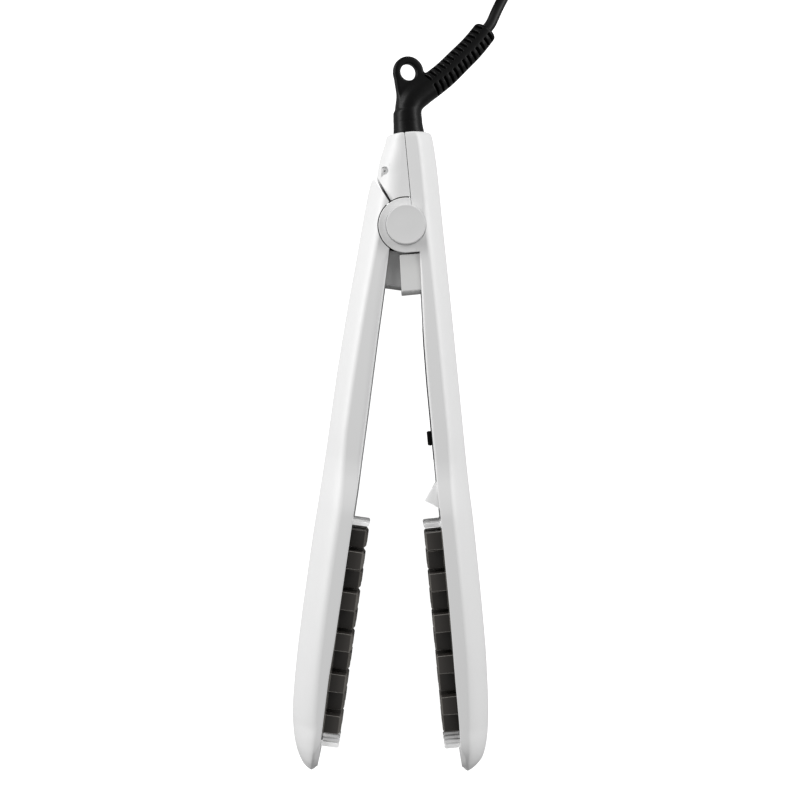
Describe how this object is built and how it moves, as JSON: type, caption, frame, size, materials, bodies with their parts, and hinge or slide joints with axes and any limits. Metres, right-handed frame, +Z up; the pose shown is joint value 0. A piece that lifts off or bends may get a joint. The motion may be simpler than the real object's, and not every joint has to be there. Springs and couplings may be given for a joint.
{
  "type": "hair crimper",
  "caption": "Hinged two-arm hair crimper with interlocking raised blocks on its heated plates, a hinge cap and a swivelling boot with a hanging loop on its cord.",
  "frame": {"origin": "middle of the iron's own footprint, without its free cord, on the surface it lies on", "axes": "+Z up along the hinge axis, +Y along the iron from the plate tips towards the cord end, +X towards the arm that carries the switch"},
  "size_m": [0.1344, 0.4703, 0.041],
  "materials": {
    "housing_white": "satin white moulded housing",
    "pale_grey": "pale grey moulded caps and combs",
    "mid_grey": "grey moulded hinge parts",
    "dark_plastic": "dark moulded plastic",
    "black_flex": "black flexible boot, cord and plug",
    "ceramic": "dark brown ceramic coating on aluminium blocks",
    "steel": "plated steel",
    "brass": "plug blades",
    "mica": "heat-resisting heater and carrier",
    "board": "green laminate board",
    "lead_red": "silicone-sleeved heater lead"
  },
  "bodies": {
    "fixed_arm": {"fixed_outer_shell": "housing_white", "rear_cover": "housing_white", "rear_cover_screw": "steel", "hinge_pin": "steel", "hinge_cap_near": "pale_grey", "hinge_cap_far": "pale_grey", "hinge_washer_near": "steel", "hinge_washer_far": "steel", "fixed_hinge_guard": "mid_grey", "opening_spring": "steel", "fixed_inner_cover": "housing_white", "fixed_cover_screw_1": "steel", "fixed_cover_screw_2": "steel", "control_strip": "dark_plastic", "slide_switch_body": "dark_plastic", "control_board": "board", "board_capacitor": "dark_plastic", "power_transistor": "dark_plastic", "fixed_plate_spring": "steel", "fixed_comb_top": "pale_grey", "fixed_comb_end": "pale_grey", "supply_lead": "black_flex", "fixed_heater_lead": "lead_red", "swivel_retainer": "mid_grey", "swivel_washer": "steel", "cord_lead": "black_flex", "cord_coil": "black_flex", "cord_tie": "dark_plastic", "cord_tail": "black_flex", "plug_body": "black_flex", "plug_blade_1": "brass", "plug_blade_2": "brass"},
    "fixed_plate": {"fixed_grid_plate": "ceramic", "fixed_heater": "mica", "fixed_thermal_fuse": "steel", "fixed_plate_carrier": "mica"},
    "moving_arm": {"moving_outer_shell": "housing_white", "moving_hinge_knuckle": "mid_grey", "moving_hinge_guard": "dark_plastic", "moving_inner_cover": "housing_white", "moving_cover_screw_1": "steel", "moving_cover_screw_2": "steel", "moving_plate_spring": "steel", "moving_comb_top": "pale_grey", "moving_comb_end": "pale_grey", "moving_heater_lead": "lead_red"},
    "moving_plate": {"moving_grid_plate": "ceramic", "moving_heater": "mica", "moving_thermal_fuse": "steel", "moving_plate_carrier": "mica"},
    "switch_slider": {"slide_switch_cap": "dark_plastic"},
    "swivel": {"swivel_boot": "black_flex"}
  },
  "joints": [
    {"name": "arm_hinge", "type": "hinge", "parent": "fixed_arm", "child": "moving_arm", "pos_m": [0.00608, 0.08077, 0.0205], "axis": [0, 0, 1], "range_deg": [0, 13.2], "stiffness_Nm_per_rad": 1.3, "springref_deg": -6.59, "deforming": ["opening_spring"]},
    {"name": "fixed_plate_slide", "type": "slide", "parent": "fixed_arm", "child": "fixed_plate", "axis": [0.9956, 0.0941, 0], "range_m": [0, 0.0015], "stiffness_N_per_m": 5000, "deforming": ["fixed_plate_spring"]},
    {"name": "moving_plate_slide", "type": "slide", "parent": "moving_arm", "child": "moving_plate", "axis": [-0.9907, 0.1357, 0], "range_m": [0, 0.0015], "stiffness_N_per_m": 5000, "deforming": ["moving_plate_spring"]},
    {"name": "switch_slide", "type": "slide", "parent": "fixed_arm", "child": "switch_slider", "axis": [0.0941, -0.9956, 0], "range_m": [-0.003, 0.003]},
    {"name": "cord_swivel", "type": "hinge", "parent": "fixed_arm", "child": "swivel", "pos_m": [0.00766, 0.12471, 0.0205], "axis": [0.0941, -0.9956, 0], "continuous": true}
  ]
}
